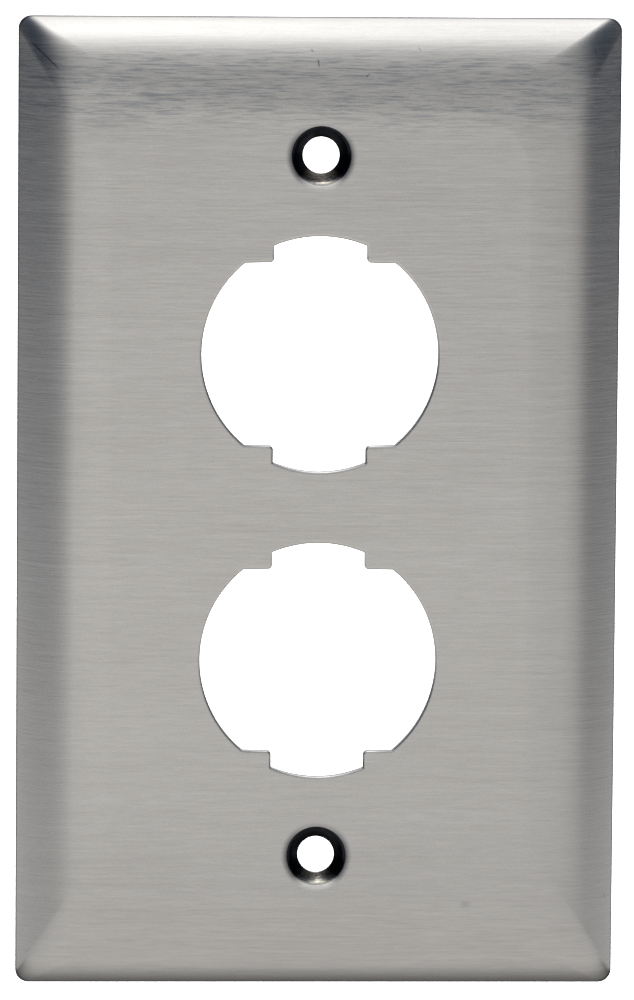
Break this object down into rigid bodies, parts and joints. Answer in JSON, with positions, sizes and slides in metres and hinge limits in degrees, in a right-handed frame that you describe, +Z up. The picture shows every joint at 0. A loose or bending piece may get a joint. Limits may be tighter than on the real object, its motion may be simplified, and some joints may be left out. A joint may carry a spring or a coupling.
{
  "type": "wall plate cover",
  "caption": "Domed brushed stainless steel wall plate with keyed round openings one above the other, and a dimpled countersunk screw hole near each end.",
  "frame": {"origin": "centre of the plate on the wall plane, where the back of the rim seats", "axes": "+Z up the plate as mounted, +Y into the wall, so the face looks toward -Y"},
  "size_m": [0.0714, 0.0052, 0.1156],
  "materials": {
    "brushed_stainless": "satin, brushed across the width"
  },
  "bodies": {
    "root": {"wall_plate": "brushed_stainless"}
  },
  "joints": []
}
